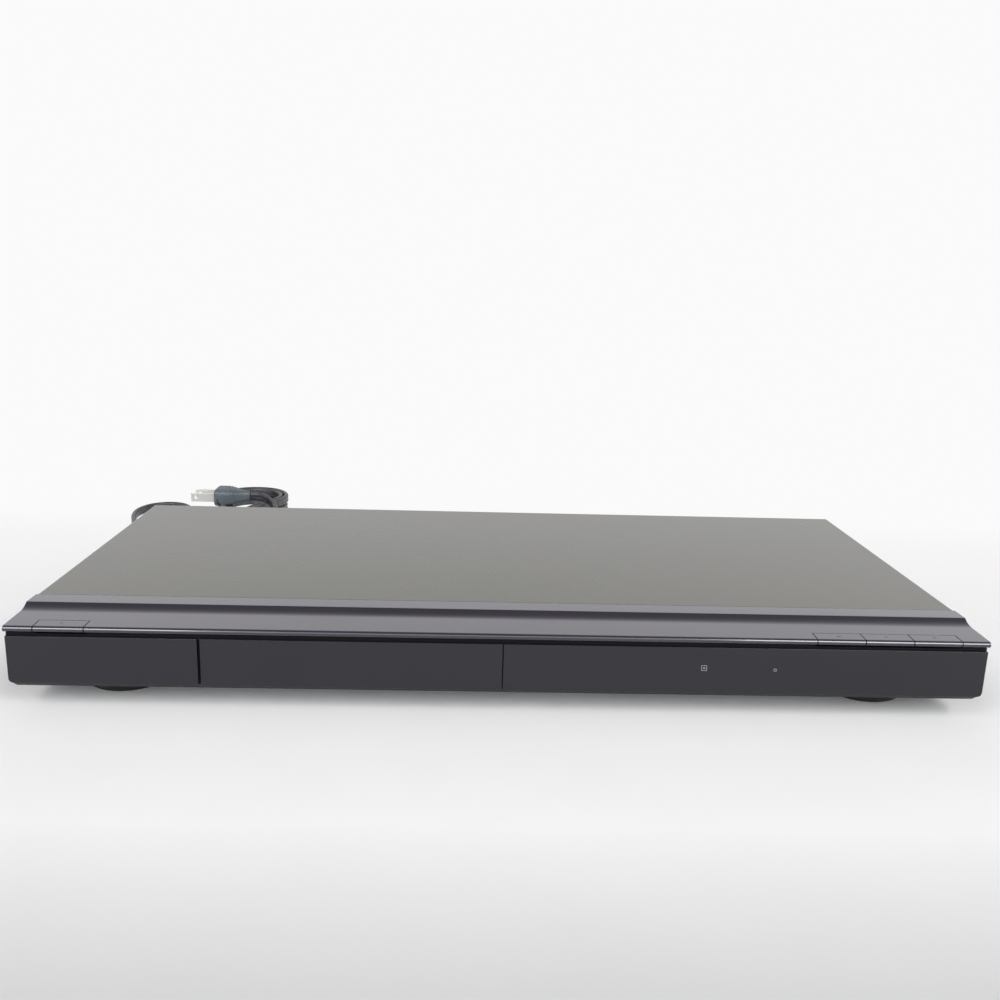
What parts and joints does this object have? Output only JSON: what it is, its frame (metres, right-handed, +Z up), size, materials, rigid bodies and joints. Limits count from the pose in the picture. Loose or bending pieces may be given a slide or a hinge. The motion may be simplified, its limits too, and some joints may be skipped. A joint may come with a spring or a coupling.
{
  "type": "disc player with tray",
  "caption": "Slim full-width disc player with a glossy face, a sliding disc tray, push keys, wide round feet and a folded flat mains lead behind.",
  "frame": {"origin": "on the floor under the middle of the player's outline, sockets included and the free lead left out", "axes": "+X to the right seen from the front, +Y from the front to the back, +Z up"},
  "size_m": [0.4928, 0.3905, 0.043],
  "materials": {
    "coated_steel": "satin",
    "zinc_steel": "satin",
    "front_plastic": "gloss",
    "panel_plastic": "gloss",
    "window_plastic": "gloss",
    "feet_plastic": "satin",
    "felt": "matte",
    "frame_plastic": "satin",
    "tray_plastic": "satin",
    "motor_steel": "satin",
    "belt_rubber": "matte",
    "tan_board": "satin",
    "green_board": "satin",
    "transformer_core": "matte",
    "capacitor_sleeve": "gloss",
    "heat_sink_alloy": "satin",
    "chip_black": "matte",
    "socket_shell": "satin",
    "phono_plastic": "satin",
    "switch_plastic": "satin",
    "display_glass": "gloss",
    "receiver_plastic": "gloss",
    "cable_film": "satin",
    "wire_sleeve": "satin",
    "black_screws": "satin",
    "yellow_screws": "satin",
    "lead_sleeve": "satin",
    "tie_paper": "matte",
    "plug_vinyl": "satin",
    "blade_brass": "polished",
    "gear_plastic": "satin",
    "traverse_plastic": "satin",
    "rod_steel": "polished",
    "pad_rubber": "matte",
    "pickup_alloy": "satin",
    "pinion_brass": "satin"
  },
  "bodies": {
    "player": {"bottom_chassis": "zinc_steel", "rear_panel": "zinc_steel", "top_cover": "coated_steel", "front_bezel": "front_plastic", "left_face_panel": "panel_plastic", "display_window": "window_plastic", "front_feet": "feet_plastic", "rear_feet": "feet_plastic", "foot_pads": "felt", "loader_frame": "frame_plastic", "clamp_bridge": "zinc_steel", "loading_motor": "motor_steel", "drive_belt": "belt_rubber", "power_board": "tan_board", "transformer": "transformer_core", "capacitors": "capacitor_sleeve", "heat_sink": "heat_sink_alloy", "main_board": "green_board", "board_chips": "chip_black", "hdmi_socket": "socket_shell", "component_sockets": "phono_plastic", "line_sockets": "phono_plastic", "digital_socket": "phono_plastic", "key_boards": "green_board", "key_switches": "switch_plastic", "front_board": "green_board", "display_module": "display_glass", "ir_receiver": "receiver_plastic", "flat_cables": "cable_film", "wire_harness": "wire_sleeve", "case_screws": "black_screws", "loader_screws": "yellow_screws", "board_screws": "yellow_screws", "cord_bushing": "lead_sleeve", "power_cord": "lead_sleeve", "cord_hank": "lead_sleeve", "cord_tie": "tie_paper", "plug_body": "plug_vinyl", "plug_blades": "blade_brass"},
    "tray": {"disc_tray": "tray_plastic", "tray_door": "panel_plastic"},
    "power_key": {"power_button": "front_plastic"},
    "open_key": {"open_button": "front_plastic"},
    "play_key": {"play_button": "front_plastic"},
    "stop_key": {"stop_button": "front_plastic"},
    "tray_gear": {"drive_gear": "gear_plastic"},
    "belt_gear": {"pulley_gear": "gear_plastic"},
    "motor_wheel": {"motor_pulley": "gear_plastic"},
    "cam": {"cam_slider": "gear_plastic"},
    "pickup_unit": {"traverse_chassis": "traverse_plastic", "spindle_motor": "motor_steel", "guide_rods": "rod_steel", "sled_motor": "motor_steel"},
    "disc_hub": {"turntable": "traverse_plastic", "turntable_pad": "pad_rubber"},
    "sled": {"pickup": "pickup_alloy"},
    "sled_gear": {"sled_gear": "gear_plastic"},
    "sled_pinion": {"sled_pinion": "pinion_brass"},
    "clamp": {"clamper": "gear_plastic"}
  },
  "joints": [
    {"name": "tray_slide", "type": "slide", "parent": "player", "child": "tray", "axis": [0, -1, 0], "range_m": [0, 0.134]},
    {"name": "tray_gear_spin", "type": "hinge", "parent": "player", "child": "tray_gear", "pos_m": [-0.0213, -0.077, 0.0228], "axis": [0, 0, 1], "range_deg": [-1070, 0]},
    {"name": "belt_gear_spin", "type": "hinge", "parent": "player", "child": "belt_gear", "pos_m": [-0.043, -0.077, 0.0228], "axis": [0, 0, 1], "range_deg": [0, 3660]},
    {"name": "motor_wheel_spin", "type": "hinge", "parent": "player", "child": "motor_wheel", "pos_m": [-0.0804, -0.077, 0.0228], "axis": [0, 0, 1], "range_deg": [0, 12570]},
    {"name": "pickup_unit_tilt", "type": "hinge", "parent": "player", "child": "pickup_unit", "pos_m": [-0.0663, 0.057, 0.02], "axis": [1, 0, 0], "range_deg": [0, 3.8]},
    {"name": "cam_slide", "type": "slide", "parent": "player", "child": "cam", "axis": [1, 0, 0], "range_m": [0, 0.0201]},
    {"name": "disc_hub_spin", "type": "hinge", "parent": "pickup_unit", "child": "disc_hub", "pos_m": [-0.0663, -0.033, 0.0258], "axis": [0, 0, 1], "continuous": true},
    {"name": "sled_slide", "type": "slide", "parent": "pickup_unit", "child": "sled", "axis": [0, 1, 0], "range_m": [0, 0.034]},
    {"name": "sled_gear_spin", "type": "hinge", "parent": "pickup_unit", "child": "sled_gear", "pos_m": [-0.0998, 0.012, 0.0178], "axis": [0, 0, 1], "range_deg": [0, 490]},
    {"name": "sled_pinion_spin", "type": "hinge", "parent": "pickup_unit", "child": "sled_pinion", "pos_m": [-0.1054, 0.0217, 0.0178], "axis": [0, 0, 1], "range_deg": [-1790, 0]},
    {"name": "clamp_spin", "type": "hinge", "parent": "player", "child": "clamp", "pos_m": [-0.0663, -0.033, 0.0358], "axis": [0, 0, 1], "continuous": true},
    {"name": "power_press", "type": "slide", "parent": "player", "child": "power_key", "axis": [0, 0, -1], "range_m": [0, 0.0006], "stiffness_N_per_m": 600, "springref_m": -0.0006},
    {"name": "open_press", "type": "slide", "parent": "player", "child": "open_key", "axis": [0, 0, -1], "range_m": [0, 0.0006], "stiffness_N_per_m": 600, "springref_m": -0.0006},
    {"name": "play_press", "type": "slide", "parent": "player", "child": "play_key", "axis": [0, 0, -1], "range_m": [0, 0.0006], "stiffness_N_per_m": 600, "springref_m": -0.0006},
    {"name": "stop_press", "type": "slide", "parent": "player", "child": "stop_key", "axis": [0, 0, -1], "range_m": [0, 0.0006], "stiffness_N_per_m": 600, "springref_m": -0.0006}
  ],
  "couplings": [
    {"joint": "tray_gear_spin", "follows": "tray_slide", "rad_per_m": -138.89},
    {"joint": "belt_gear_spin", "follows": "tray_slide", "rad_per_m": 476.19},
    {"joint": "motor_wheel_spin", "follows": "tray_slide", "rad_per_m": 1636.9},
    {"joint": "cam_slide", "follows": "pickup_unit_tilt", "m_per_rad": 0.30156},
    {"joint": "sled_gear_spin", "follows": "sled_slide", "rad_per_m": 250},
    {"joint": "sled_pinion_spin", "follows": "sled_slide", "rad_per_m": -916.67},
    {"joint": "clamp_spin", "follows": "disc_hub_spin", "ratio": 1}
  ]
}
